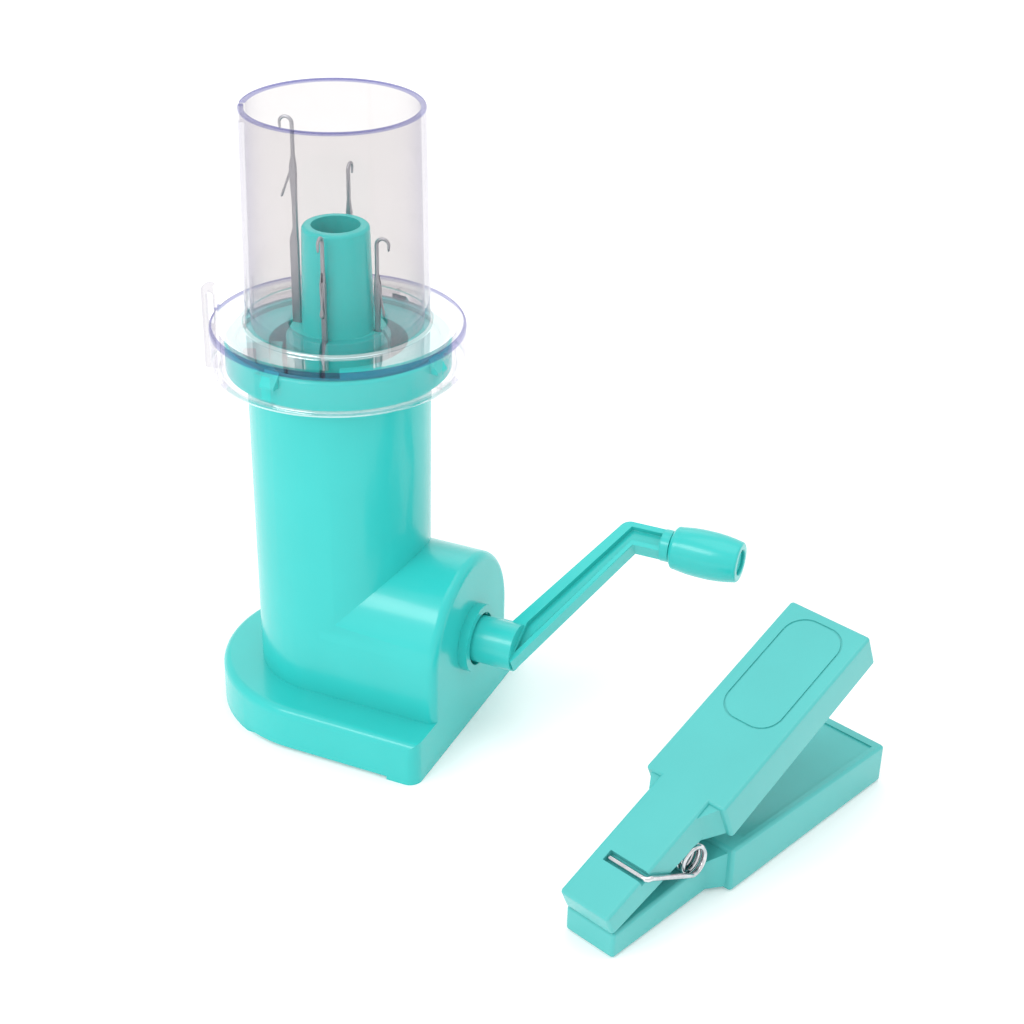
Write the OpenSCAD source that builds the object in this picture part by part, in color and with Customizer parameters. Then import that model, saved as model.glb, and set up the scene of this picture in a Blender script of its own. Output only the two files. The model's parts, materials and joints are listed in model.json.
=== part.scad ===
// Small hand-cranked circular knitting mill that makes four-stitch cord, with
// its spring clip for the cord end. The Z axis is the needle cylinder's axis,
// Z = 0 is the table, and +X points along the crank shaft.

/* [Housing] */
// Height of the base plinth
base_h = 12.4; // [10:0.2:16]
// Radius of the plinth's round end, and half its width
base_r = 33.3; // [31:0.1:38]
// Distance from the needle axis to the flat end of the housing
end_x = 37.5; // [36:0.5:40]
// Wall thickness of the mouldings
wall = 2.2; // [1.6:0.1:3]
// Height of the crank shaft above the table
axle_z = 26.5; // [25:0.5:30]
// Outer radius of the arched gear case
arch_r = 22.6; // [20:0.2:24]
// How far the collar stands out from the upright tube
collar_out = 5.2; // [4:0.1:8]
// Height of the collar's top edge
collar_top = 105; // [95:1:115]

/* [Needles] */
// Number of needles round the cylinder
needle_count = 4; // [4:1:4]
// Distance from the cord's bore to the middle of the needles
needle_gap = 4.25; // [4:0.05:4.6]
// Angle of the first needle
needle_angle = 10; // [0:1:20]
// Height of a hook above the ledge at the bottom of its stroke
hook_rise = 24.5; // [22:0.5:28]
// Needle stroke set by the lift cam
stroke = 28; // [20:1:30]

/* [Cylinder and gears] */
// Radius of the bore that the finished cord hangs through
cord_r = 6; // [4:0.1:7]
// Height of the centre tube above the ledge of the needles
core_rise = 26.5; // [22:0.5:32]
// Wall of the slotted needle drum, from the middle of the needles out
drum_wall = 2.75; // [2.4:0.05:3.2]
// Wall of the deck ring's sleeve, which the upright tube fits round
sleeve_t = 3.4; // [2.6:0.1:5]
// Gear module
gear_module = 1.5; // [1.5:0.1:1.5]
// Teeth on the crank's pinion
pinion_teeth = 12; // [12:1:12]
// Teeth on the crown gear
crown_teeth = 20; // [20:1:20]

/* [Clear cover] */
// Radius of the clear tube at its top
glass_top_r = 22; // [21:0.1:24]
// Radius of the clear tube where it meets the flange
glass_low_r = 22.9; // [22:0.1:25]
// Height of the clear tube above its flange
glass_h = 54.4; // [50:0.2:66]
// Height of the skirt, with the flange
skirt_h = 11.5; // [9.5:0.1:14]

/* [Crank] */
// Distance from the shaft to the knob's pin
crank_throw = 39.6; // [34:0.1:42]
// Distance from the needle axis to the crank's elbow
elbow_x = 67.8; // [64:0.2:70]
// Width of the crank's arm
arm_w = 7.2; // [6:0.1:8]
// Thickness of the crank's arm
arm_t = 4.8; // [4:0.1:6]
// Angle of the crank above the horizontal, turned to the back
crank_angle = 30; // [0:5:90]
// Length of the knob
knob_l = 18.6; // [15:0.1:22]
// Largest radius of the knob
knob_r = 6.4; // [5.8:0.1:7]

/* [Cord clip] */
// Length of the lever that lies on the table
lever_low_l = 99.5; // [94:0.5:104]
// Length of the upper lever
lever_top_l = 95.5; // [90:0.5:99]
// Width of the clip's nose
nose_w = 14.6; // [12:0.1:16]
// Width of the clip's handles
grip_w = 23.6; // [20:0.2:26]
// Height of the lower lever's jaw end
jaw_low_h = 7; // [6:0.1:8]
// Height of the upper lever's jaw end
jaw_top_h = 6.6; // [6:0.1:8]
// Mean radius of the spring's coil
coil_r = 3.5; // [3.3:0.1:3.8]
// Diameter of the spring wire
wire_d = 1.3; // [1:0.1:1.5]
// Where the clip's jaw end lies, along the crank shaft
clip_x = 98.5; // [80:0.5:110]
// Where the clip's jaw end lies, towards the back
clip_y = -68; // [-80:0.5:-50]
// Turn of the clip's length from the crank shaft
clip_turn = 69.7; // [60:0.1:80]

/* [Hidden] */
$fn = 72;
eps = 0.01;
gap = 0.3;            // clearance between moving mouldings
run = 0.05;           // radial running clearance of a shaft
slip = 0.2;           // clearance of a moulding that drops into another
round_r = 2.4;        // rounding of the housing's outer edges
foot_r = 3.4;         // rounding of the plinth's upright corners

// Gears, and the shelf above them that carries the cylinder
pinion_pitch = gear_module * pinion_teeth / 2;
crown_pitch = gear_module * crown_teeth / 2;
mesh_z = axle_z + pinion_pitch;
face_w = 3;           // width of the gear teeth
tooth_w = 1.75;       // thickness of a tooth at the pitch line
shelf_low = mesh_z + 7.5;
shelf_top = shelf_low + 7;
drum_low = shelf_top + 1;

// Radii from the cord's bore outwards
outlet_r = cord_r + 0.5;
core_r = cord_r + 2.3;
neck_r = cord_r + 4;  // bearing neck under the drum
needle_r = cord_r + needle_gap;
drum_r = needle_r + drum_wall;
cam_in = drum_r + 1.2;
cam_out = cam_in + 2.9;
sleeve_in = cam_out + 0.1;
sleeve_r = sleeve_in + sleeve_t;
tube_bore = sleeve_r + slip;
tube_r = tube_bore + wall;
collar_r = tube_r + collar_out;
cup_r = collar_r - 2.7;
glass_t = 1.4;        // wall of the clear tube
skirt_t = 2.5;        // wall of the clear skirt
skirt_gap = 1.1;      // room between the collar and the skirt
skirt_r = collar_r + skirt_gap + skirt_t;

// Heights above the collar
plate_low = collar_top + 2.7;      // underside of the clear flange
glass_floor = plate_low + glass_t; // top of the clear flange
total_h = glass_floor + glass_h;
skirt_low = glass_floor - skirt_h;
cup_floor = skirt_low + 1.8;
ledge_z = plate_low - slip;
core_top = ledge_z + core_rise;
hook_low = ledge_z + hook_rise;

// Needles and cams
cam_foot = 16;        // from the shelf to a needle's foot at the bottom of its stroke
shank = hook_low - shelf_top - cam_foot;
butt_h = 4;
butt_reach = cam_in - gap;
slot_w = 1.5;         // needle slots in the drum
rise_from = needle_angle;
rise_arc = 180;
fall_arc = 115;
pivot_drop = 12.5;    // latch pivot below the hook's top
latch_l = 8.9;
wire_r = 0.5;

// Crank shaft and crank
shaft_r = 3;
boss_r = 9.1;
boss_bore = 7.1;
boss_x = end_x + 2.5;
bush_x = crown_pitch + 11.5;  // inner end of the bush
hub_r = 6.2;
arm_x = boss_x + 9;      // where the arm's centre line leaves the shaft
hub_x = boss_x + 10.6;  // outer end of the crank's hub
pin_r = 2.3;
knob_x = elbow_x + 12;

// Cord clip: the jaws meet at the angle between the levers
fulcrum = 28;         // from the jaw tip to the clip's coil
fulcrum_h = 12.5;
clip_angle = atan((fulcrum_h - jaw_top_h) / fulcrum)
    + asin((fulcrum_h - jaw_low_h) / norm([fulcrum, fulcrum_h - jaw_top_h]));
leg_x = 13.3;         // where the spring's cross leg lies, from the jaw tip
leg_slot = wire_d + 1.7; // width of the slot that it lies in
leg_sink = 0.9;       // its depth below the lever's outer face
leg_reach = 3.2;      // how far it reaches past the clip's middle
leg_dip = -118;       // where round the coil the near leg leaves it
coil_turns = 9;
coil_steps = 14;
pad_l = 34;           // outline of the thumb pad
pad_w = grip_w - 7.2;
pad_r = 6;

// Bottom cover and the snap fit of the clear cover
cover_low = 0.6;
cover_t = 2;
screw_at = [for (s = [-1, 1]) each [[(base_r - 6.4) * cos(132), s * (base_r - 6.4) * sin(132)],
                                    [end_x - 7.5, s * (base_r - 7.3)]]];
snap_angles = [for (k = [0 : 3]) 264 + 90 * k];
open_deck = [212, 255, 299];  // angles of the deck's open sector
snap_w = 4.6;          // windows in the skirt that snap over the collar's teeth
snap_h = skirt_h - 3.9;

mint = [0.25, 0.85, 0.79];
clear = [0.9, 0.88, 0.93, 0.35];
steel = [0.5, 0.5, 0.52];
chrome = [0.8, 0.8, 0.82];
nylon = [0.92, 0.92, 0.9];

// ---- motion law of the cams ---------------------------------------------

// Height of a needle's hook when the needle stands at this angle
function hook_z(a) =
    let (b = (a - rise_from + 360) % 360)
    b <= rise_arc ? hook_low + stroke * (1 - cos(b)) / 2
    : b <= rise_arc + fall_arc
        ? hook_low + stroke * (1 + cos((b - rise_arc) * 180 / fall_arc)) / 2
    : hook_low;

function lift_z(a) = hook_z(a) - shank - gap;
function stitch_z(a) = hook_z(a) - shank + butt_h + 1.2;
function needle_at(i) = needle_angle + 90 * (i - 1);
// The raised needle's latch hangs wide open and the others hang close
function latch_hang(i) = i == 3 ? 20 : 9;

// ---- shared shapes ------------------------------------------------------

module ring(ro, ri, z0, z1) {
    difference() {
        translate([0, 0, z0]) cylinder(r = ro, h = z1 - z0);
        translate([0, 0, z0 - 1]) cylinder(r = ri, h = z1 - z0 + 2);
    }
}

// Half section of a slab whose top edge is rounded
module slab_half(r, h, e) {
    square([r, h - e]);
    square([r - e, h]);
    translate([r - e, h - e]) circle(e);
}

// Slab with one round end, from the table up
module d_slab(r, length, h, e) {
    rotate([0, 0, 90]) rotate_extrude(angle = 180) slab_half(r, h, e);
    rotate([90, 0, 90]) linear_extrude(length) {
        slab_half(r, h, e);
        mirror([1, 0]) slab_half(r, h, e);
    }
}

// Arched case along +X about the shaft, with its end edge rounded
module arch(r, length, e) {
    translate([0, 0, axle_z]) rotate([0, 90, 0]) rotate([0, 0, 90]) rotate_extrude(angle = 180)
        slab_half(r, length, e);
    translate([0, -r, 0]) cube([length - e, 2 * r, axle_z]);
    translate([0, e - r, 0]) cube([length, 2 * (r - e), axle_z]);
    for (s = [-1, 1]) translate([length - e, s * (r - e), 0]) cylinder(r = e, h = axle_z);
}

// Cutter that rounds an upright corner at the origin, with the body towards -X and -Y
module corner_cutter(r, h) {
    difference() {
        translate([-r, -r, -1]) cube([r + 1, r + 1, h + 2]);
        translate([-r, -r, -2]) cylinder(r = r, h = h + 4);
    }
}

module along_x(x0, x1, r) {
    translate([x0, 0, axle_z]) rotate([0, 90, 0]) cylinder(r = r, h = x1 - x0);
}

// Ring wall between two angles whose lower and upper edges follow heights
module ribbon(ri, ro, a0, a1, low, high, steps) {
    n = steps + 1;
    corners = [for (k = [0 : steps])
        let (a = a0 + (a1 - a0) * k / steps, c = cos(a), s = sin(a))
        each [[ri * c, ri * s, low(a)], [ro * c, ro * s, low(a)],
              [ro * c, ro * s, high(a)], [ri * c, ri * s, high(a)]]];
    sides = [for (k = [0 : steps - 1]) for (j = [0 : 3])
        let (p = 4 * k, q = (j + 1) % 4)
        each [[p + j, p + 4 + j, p + 4 + q], [p + j, p + 4 + q, p + q]]];
    polyhedron(corners, concat(sides, [[0, 1, 2, 3], [for (j = [3 : -1 : 0]) 4 * (n - 1) + j]]));
}

// ---- housing and covers -------------------------------------------------

module housing_outside() {
    difference() {
        d_slab(base_r, end_x, base_h, round_r);
        for (s = [0, 1]) mirror([0, s, 0]) translate([end_x, base_r, 0]) corner_cutter(foot_r, base_h);
    }
    arch(arch_r, end_x, round_r);
    cylinder(r1 = tube_r - 0.3, r2 = tube_r + 0.1, h = cup_floor);
    translate([0, 0, skirt_low + 0.2]) rotate_extrude()
        slab_half(collar_r, collar_top - skirt_low - 0.2, 0.8);
    along_x(end_x - 1, boss_x, boss_r);
    for (a = snap_angles) rotate([0, 0, a]) translate([collar_r - 0.5, snap_w / 2 - 0.2, skirt_low])
        rotate([90, 0, 0]) linear_extrude(snap_w - 0.4)
            polygon([[0, snap_h - 3], [2.6, snap_h - 3], [2.6, snap_h - 2.4], [0, snap_h + 0.8]]);
}

module housing_inside() {
    translate([0, 0, -1]) d_slab(base_r - wall, end_x - wall, base_h - wall + 1, 1);
    difference() {
        translate([0, 0, -1]) arch(arch_r - wall, end_x - wall, 1);
        translate([-1, -tube_r, axle_z + arch_r - wall]) cube([end_x, 2 * tube_r, 9]);
    }
    translate([0, 0, -1]) cylinder(r = tube_bore, h = collar_top);
    translate([0, 0, cup_floor]) cylinder(r = cup_r, h = 20);
    along_x(end_x - wall - 2, boss_x + 1, boss_bore);
    for (s = [-1, 1]) translate([-16, s * base_r - 3, -1]) cube([45, 6, 2]);
}

module housing() {
    color(mint) {
        difference() {
            housing_outside();
            housing_inside();
        }
        ring(tube_r - 0.5, neck_r + run, shelf_low, shelf_top);
        difference() {
            along_x(bush_x, end_x - 1, boss_r);
            along_x(bush_x - 1, end_x, boss_bore);
        }
        for (a = [0 : 45 : 315]) translate([0, 0, axle_z]) rotate([a, 0, 0])
            translate([end_x - 1, -0.5, boss_bore - 0.5]) cube([boss_x - end_x + 0.4, 1, 0.8]);
        for (p = screw_at) difference() {
            translate([p[0], p[1], cover_low + cover_t]) cylinder(r = 3, h = base_h - wall - 1.6);
            translate([p[0], p[1], 0]) cylinder(r = 1.1, h = base_h - 3);
        }
    }
}

module bottom_cover() {
    inset = wall + 0.3;
    color(mint) difference() {
        union() {
            translate([0, 0, cover_low]) d_slab(base_r - inset, end_x - inset, cover_t, 0.3);
            cylinder(r = outlet_r + 1.3, h = mesh_z - 2.6);
            cylinder(r = outlet_r + 4, h = cover_low + cover_t + 1);
        }
        translate([0, 0, -1]) cylinder(r = outlet_r, h = mesh_z + 2);
        for (p = screw_at) translate([p[0], p[1], 0]) {
            cylinder(r = 1.4, h = 6);
            cylinder(r = 2.5, h = cover_low + 1.1);
        }
    }
}

module cover_screws() {
    color(steel) for (p = screw_at) translate([p[0], p[1], cover_low]) difference() {
        union() {
            cylinder(r = 2.3, h = 1.1);
            cylinder(r = 1.08, h = 7.4);
        }
        for (a = [0, 90]) rotate([0, 0, a]) translate([-1.3, -0.25, -0.1]) cube([2.6, 0.5, 0.7]);
    }
}

module cam_ring() {
    top = cup_floor + 4.6;
    far = 2 * collar_r;
    color(mint) difference() {
        rotate_extrude() {
            translate([sleeve_in, shelf_top + 0.1]) square([sleeve_t, top - shelf_top - 0.1]);
            translate([sleeve_in, top - 1.8]) square([cup_r - slip - sleeve_in, 1.8]);
            translate([cup_r - slip - 1.6, cup_floor + 0.1]) square([1.6, top - cup_floor - 0.1]);
        }
        // The deck is open over the stitch cam, where the needles are reached
        translate([0, 0, cup_floor + 0.1]) linear_extrude(9)
            polygon([[0, 0], for (a = open_deck) [far * cos(a), far * sin(a)]]);
    }
}

module lift_cam() {
    color(nylon) ribbon(cam_in, cam_out, 0, 359.5, function (a) shelf_top + 0.1,
                        function (a) lift_z(a), 60);
}

module stitch_cam() {
    color(nylon) ribbon(cam_in, cam_out, 196, 302, function (a) stitch_z(a),
                        function (a) stitch_z(a) + 3, 18);
}

module shaft_bush() {
    color(nylon) difference() {
        union() {
            along_x(bush_x, end_x - 1.6, boss_bore);
            along_x(bush_x - 1.2, bush_x, boss_bore + 1.2);
        }
        along_x(0, end_x, shaft_r + run);
    }
}

module clear_cover() {
    inner = skirt_r - skirt_t;
    hole = needle_r + 1.95;
    color(clear) difference() {
        union() {
            rotate_extrude() difference() {
                union() {
                    polygon([[hole, plate_low], [hole, glass_floor],
                             [glass_low_r - glass_t, glass_floor],
                             [glass_top_r - glass_t, total_h - 0.3],
                             [glass_top_r - glass_t + 0.3, total_h],
                             [glass_top_r - 0.3, total_h], [glass_top_r, total_h - 0.3],
                             [glass_low_r, glass_floor + 0.6], [glass_low_r + 0.6, glass_floor],
                             [skirt_r - 1, glass_floor], [skirt_r - 1, plate_low]]);
                    translate([skirt_r - 1, glass_floor - 1]) circle(1);
                    translate([inner, skirt_low]) square([skirt_t, glass_floor - 1 - skirt_low]);
                    translate([cup_r + 0.6, collar_top + 0.05]) square([1.6, plate_low - collar_top]);
                }
                translate([skirt_r - 0.4, skirt_low - eps]) square([1, 0.5]);
            }
            yarn_guide();
        }
        for (a = snap_angles) rotate([0, 0, a])
            translate([inner - 1, -snap_w / 2, skirt_low + 1.2]) cube([skirt_t + 2, snap_w, snap_h]);
        // Notch in the rim that the yarn enters through
        rotate([0, 0, 203]) translate([glass_top_r - 3, -1.2, total_h - 4.5]) cube([6, 2.4, 6]);
    }
}

// Upright eye on the skirt that leads the yarn to the raised needle
module yarn_guide() {
    low = skirt_low - 5;
    high = glass_floor + 6.4;
    half = 2.2;
    rotate([0, 0, 192]) translate([skirt_r + half - 0.9, 1, 0]) rotate([90, 0, 0]) linear_extrude(2)
        difference() {
            union() {
                translate([-half, low]) square([2 * half, high - half - low]);
                translate([0, high - half]) circle(half);
            }
            translate([0, high - half - 1]) circle(0.9);
            translate([0, glass_floor - 4]) circle(0.9);
            translate([-0.9, glass_floor - 4]) square([1.8, high - half + 3 - glass_floor]);
        }
}

// ---- needle cylinder and its gear ---------------------------------------

module needle_cylinder() {
    color(mint) difference() {
        union() {
            rotate_extrude() polygon([[cord_r, mesh_z - 1], [neck_r, mesh_z - 1], [neck_r, drum_low],
                [drum_r, drum_low], [drum_r, ledge_z - 2.2], [needle_r + 1.45, ledge_z],
                [core_r + 0.7, ledge_z], [core_r, core_top - 1], [cord_r, core_top - 1]]);
            translate([0, 0, core_top - 1]) ring(core_r - 1, cord_r, -eps, 1);
            translate([0, 0, core_top - 1]) rotate_extrude() translate([core_r - 1, 0]) circle(1);
        }
        for (i = [1 : needle_count]) rotate([0, 0, needle_at(i)])
            translate([needle_r - 1.05, -slot_w / 2, hook_low - shank - 4])
                cube([5, slot_w, ledge_z - hook_low + shank + 5]);
        ring(neck_r + 1, neck_r - 0.7, mesh_z + 0.1, mesh_z + 1.2);
    }
}

module thrust_washer() {
    color(steel) ring(drum_r + 0.5, neck_r + gap, shelf_top + 0.05, drum_low);
}

module cylinder_circlip() {
    color(steel) difference() {
        ring(neck_r + 1.4, neck_r - 0.6, mesh_z + 0.15, mesh_z + 1.1);
        translate([-neck_r - 3, -1.5, mesh_z]) cube([6, 3, 2]);
    }
}

module crown_gear() {
    root = mesh_z + 1.6;
    color(nylon) {
        ring(crown_pitch + 2.6, neck_r + eps, root, shelf_low - 0.5);
        intersection() {
            ring(crown_pitch + face_w / 2 + 0.3, crown_pitch - face_w / 2 - 0.3, mesh_z - 1, root + 1);
            for (k = [0 : crown_teeth - 1]) rotate([0, 0, 360 * k / crown_teeth])
                rotate([90, 0, 90]) linear_extrude(crown_pitch + 4)
                    polygon([[-1, mesh_z + 2.5], [-0.5, mesh_z - 0.9],
                             [0.5, mesh_z - 0.9], [1, mesh_z + 2.5]]);
        }
    }
}

// ---- crank --------------------------------------------------------------

module crank_shaft() {
    color(steel) difference() {
        along_x(outlet_r + 2.1, boss_x + 7, shaft_r);
        along_groove(bush_x - 2.4, shaft_r - 0.5);
    }
}

module along_groove(x, r) {
    difference() {
        along_x(x, x + 0.9, shaft_r + 1);
        along_x(x - 1, x + 2, r);
    }
}

module drive_pinion() {
    root = pinion_pitch - 1.7;
    tip = pinion_pitch + 0.9;
    color(nylon) difference() {
        union() {
            along_x(crown_pitch - face_w / 2, crown_pitch + face_w / 2, root);
            along_x(crown_pitch + 1, crown_pitch + 6, 5.4);
            for (k = [0 : pinion_teeth - 1]) translate([crown_pitch, 0, axle_z])
                rotate([360 * (k + 0.5) / pinion_teeth, 0, 0]) rotate([90, 0, 90])
                    linear_extrude(face_w, center = true)
                        polygon([[-tooth_w * 0.62, root - 0.5], [-tooth_w / 2, pinion_pitch], [-0.45, tip],
                                 [0.45, tip], [tooth_w / 2, pinion_pitch], [tooth_w * 0.62, root - 0.5]]);
        }
        along_x(0, end_x, shaft_r + eps);
    }
}

module shaft_circlip() {
    color(steel) difference() {
        along_x(bush_x - 2.35, bush_x - 1.55, shaft_r + 1.8);
        along_x(0, end_x, shaft_r - 0.4);
        translate([0, -1.2, axle_z]) cube([end_x, 2.4, 9]);
    }
}

// Point on a line beside the arm's centre line, at a distance from the shaft
function beside(r, off) =
    let (lean = (elbow_x - arm_x) / crank_throw)
    [arm_x + r * lean + off * norm([lean, 1]), r];

// The arm's outline in the plane through the shaft, tapering to the elbow
// Each side's half width is given at the hub, at the elbow and along the stub
module arm_outline(low, high, end) {
    polygon([[arm_x - 5, 0], beside(-5.6, low[0]), beside(crank_throw - low[1], low[1]),
             [end, crank_throw - low[1]], [end, crank_throw + high[2]],
             beside(crank_throw + high[2], -high[1]), beside(5, -high[0])]);
}

module crank_arm() {
    web = 1.2;
    rim = 1.4;
    spine = [3.2, 2.6, 1.5];  // the outer side's rim at the hub, the elbow and the stub
    h0 = arm_w / 2 + 0.7;
    h1 = arm_w / 2 - 0.2;
    collar = 2.6;
    color(mint) difference() {
        translate([0, 0, axle_z]) rotate([crank_angle, 0, 0]) difference() {
            union() {
                translate([0, 0, -arm_t / 2]) linear_extrude(arm_t)
                    arm_outline([h0, h1], [h0, h1, h1], knob_x - collar + 1);
                translate([end_x + 0.9, 0, 0]) rotate([0, 90, 0])
                    cylinder(r = hub_r, h = hub_x - end_x - 0.9);
                translate([knob_x - collar, crank_throw, 0]) rotate([0, 90, 0]) {
                    cylinder(r = 4.3, h = collar - gap);
                    cylinder(r = pin_r, h = knob_l + collar - 0.8);
                    translate([0, 0, knob_l + collar - 1.7]) cylinder(r = pin_r + 0.7, h = 0.9);
                }
            }
            for (s = [-1, 1]) translate([0, 0, s * (web + arm_t) / 2])
                linear_extrude(arm_t, center = true) intersection() {
                    arm_outline([h0 - rim, h1 - rim], [h0, h1, h1] - spine, knob_x);
                    translate([hub_x + 0.4, -3]) square([knob_x - collar - hub_x - 1.2, 99]);
                }
        }
        along_x(end_x, boss_x + 7, shaft_r + eps);
    }
}

module crank_knob() {
    belly = [for (k = [0 : 10]) let (u = k / 10)
        [5 + (knob_r - 5) * sin(180 * (u * 0.84 + 0.08)) ^ 0.8, knob_l * (0.06 + 0.9 * u)]];
    color(mint) translate([0, 0, axle_z]) rotate([crank_angle, 0, 0])
        translate([knob_x, crank_throw, 0]) rotate([0, 90, 0]) difference() {
            rotate_extrude() polygon(concat([[0, 0], [4.3, 0]], belly, [[4.6, knob_l], [0, knob_l]]));
            translate([0, 0, -1]) cylinder(r = pin_r + run, h = knob_l + 2);
            translate([0, 0, knob_l - 1.8]) cylinder(r = 3.4, h = 3);
        }
}

// ---- needles: local X points away from the needle axis ------------------

module at_needle(i) {
    rotate([0, 0, needle_at(i)]) translate([needle_r, 0, hook_z(needle_at(i))]) children();
}

module needle(i) {
    hook = 1.25;
    neck = 3.2 - pivot_drop;
    cheek = -2.5 - pivot_drop;
    color(steel) at_needle(i) difference() {
        union() {
            translate([hook, 0, -hook - wire_r]) rotate([90, 0, 0]) rotate_extrude(angle = 180)
                translate([hook, 0]) circle(wire_r);
            translate([0, 0, neck - 1]) cylinder(r = wire_r, h = 1 - neck - hook - wire_r);
            translate([2 * hook, 0, -hook - wire_r - 1.2]) cylinder(r1 = 0.25, r2 = wire_r, h = 1.2);
            rotate([90, 0, 0]) linear_extrude(1.3, center = true)
                polygon([[-0.5, neck], [0.5, neck], [0.95, neck - 1.8], [0.95, cheek], [0.6, cheek - 2],
                         [0.6, -28], [0.95, -29], [0.95, -shank], [-0.95, -shank], [-0.95, -29],
                         [-0.6, -28], [-0.6, cheek - 2], [-0.8, cheek], [-0.8, neck - 1.8]]);
            translate([0, -0.65, -shank]) cube([butt_reach - needle_r, 1.3, butt_h]);
        }
        translate([-0.3, -0.27, -latch_l - pivot_drop]) cube([3, 0.54, latch_l + 2]);
        translate([0.35, 0, -pivot_drop]) rotate([90, 0, 0]) cylinder(r = 0.25, h = 4, center = true);
    }
}

module latch_rivet(i) {
    color(steel) at_needle(i) translate([0.35, 0, -pivot_drop]) rotate([90, 0, 0])
        cylinder(r = 0.24, h = 1.3, center = true);
}

module latch(i) {
    color(steel) at_needle(i) translate([0.35, 0, -pivot_drop]) rotate([0, -latch_hang(i), 0]) {
        rotate([90, 0, 0]) difference() {
            cylinder(r = 0.55, h = 0.4, center = true);
            cylinder(r = 0.27, h = 1, center = true);
        }
        translate([-0.2, -0.2, -latch_l + 1]) cube([0.42, 0.4, latch_l - 1.45]);
        translate([0, 0, -latch_l + 0.9]) rotate([0, 90, 0]) cylinder(r = 0.6, h = 0.36, center = true);
    }
}

// ---- cord clip: local X runs from the jaw to the grip, Z = 0 is the outer face

module at_clip() {
    translate([clip_x, clip_y, 0]) rotate([0, 0, clip_turn]) children();
}

// Places the upper lever: the lower lever's shape turned over about the coil
module at_upper() {
    translate([fulcrum, 0, fulcrum_h]) rotate([0, -clip_angle, 0]) mirror([0, 0, 1])
        translate([-fulcrum, 0, -fulcrum_h]) children();
}

module soft_box(x0, x1, w0, w1, h0, h1, e) {
    hull() for (s = [-1, 1]) for (z = [0, 1]) {
        translate([x0 + e, s * (w0 / 2 - e), z ? h0 - e : e]) sphere(e, $fn = 16);
        translate([x1 - e, s * (w1 / 2 - e), z ? h1 - e : e]) sphere(e, $fn = 16);
    }
}

module clip_lever(length, nose_h, root_h, grip_h, end_h) {
    step = 34;
    difference() {
        union() {
            soft_box(0, step + 9, nose_w, nose_w, nose_h, root_h, 1);
            soft_box(step + 3, length, grip_w, grip_w, grip_h, end_h, 1);
            hull() {
                translate([step - 3, -nose_w / 2 + 1, 1]) cube([1, nose_w - 2, root_h - 2]);
                translate([step + 4, -grip_w / 2 + 1, 1]) cube([1, grip_w - 2, grip_h - 2]);
            }
        }
        // Seat of the coil, and the slot of the wire's cross leg
        translate([fulcrum, 0, fulcrum_h]) rotate([90, 0, 0])
            cylinder(r = coil_r + wire_d / 2 + 0.25, h = 40, center = true);
        translate([leg_x - leg_slot / 2, -nose_w / 2 - 1, -1])
            cube([leg_slot, nose_w / 2 + 1 + leg_reach + leg_slot / 4, 1 + leg_sink + wire_d / 2 + slip]);
        // Outline of the thumb pad
        translate([length - 2.6 - pad_l / 2, 0, -1]) linear_extrude(1.35) difference() {
            pad_outline(0);
            pad_outline(0.5);
        }
        // Shallow well of the inner face
        translate([(length + step + 6) / 2, 0, grip_h + 1.2])
            cube([length - step - 12, grip_w - 4, 6], center = true);
    }
}

module pad_outline(inset) {
    r = pad_r - inset;
    x = pad_l / 2 - pad_r;
    y = pad_w / 2 - pad_r;
    for (s = [-1, 1]) for (t = [-1, 1]) translate([s * x, t * y]) circle(r);
    square([2 * x, 2 * (r + y)], center = true);
    square([2 * (r + x), 2 * y], center = true);
}

module clip_lower_lever() {
    color(mint) at_clip() mirror([0, 1, 0]) clip_lever(lever_low_l, jaw_low_h, 9.6, 12.4, 11);
}

module clip_upper_lever() {
    color(mint) at_clip() at_upper() clip_lever(lever_top_l, jaw_top_h, 10.4, 11.6, 10);
}

// Points of the spring in the clip's frame: cross leg, side leg, coil, and back
side_y = nose_w / 2 + wire_d / 2 + 0.1;
function spin(x, z, a) = [fulcrum + (x - fulcrum) * cos(a) - (z - fulcrum_h) * sin(a),
                          fulcrum_h + (x - fulcrum) * sin(a) + (z - fulcrum_h) * cos(a)];
leg_top = spin(leg_x, 2 * fulcrum_h - leg_sink, clip_angle);
coil_path = [for (k = [0 : coil_turns * coil_steps])
    let (u = k / (coil_turns * coil_steps), a = leg_dip + (coil_turns * 360 + 2 * -leg_dip) * u)
    [fulcrum + coil_r * cos(a), side_y * (2 * u - 1), fulcrum_h + coil_r * sin(a)]];
spring_path = concat(
    [[leg_top[0], leg_reach, leg_top[1]], [leg_top[0], 2 - side_y, leg_top[1]],
     [leg_top[0] + 0.3, 0.4 - side_y, leg_top[1]], [leg_top[0] + 1.2, -side_y, leg_top[1] - 0.3]],
    coil_path,
    [[leg_x + 1.2, side_y, leg_sink + 0.3], [leg_x + 0.3, side_y - 0.6, leg_sink + 0.1],
     [leg_x, side_y - 2, leg_sink], [leg_x, -leg_reach, leg_sink]]);

function unit(v) = v / norm(v);

module swept_wire(path, r, sides) {
    last = len(path) - 1;
    tangent = [for (k = [0 : last]) unit(path[min(k + 1, last)] - path[max(k - 1, 0)])];
    rings = [for (k = [0 : last])
        let (t = tangent[k], w = unit(cross(t, [0.31, 0.09, 0.95])), v = cross(t, w))
        each [for (j = [0 : sides - 1]) let (a = 360 * j / sides) path[k] + r * (w * cos(a) + v * sin(a))]];
    faces = [for (k = [0 : last - 1]) for (j = [0 : sides - 1])
        let (p = k * sides, q = (j + 1) % sides)
        each [[p + j, p + q, p + sides + q], [p + j, p + sides + q, p + sides + j]]];
    polyhedron(rings, concat(faces, [[for (j = [sides - 1 : -1 : 0]) j],
                                     [for (j = [0 : sides - 1]) last * sides + j]]));
}

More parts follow.
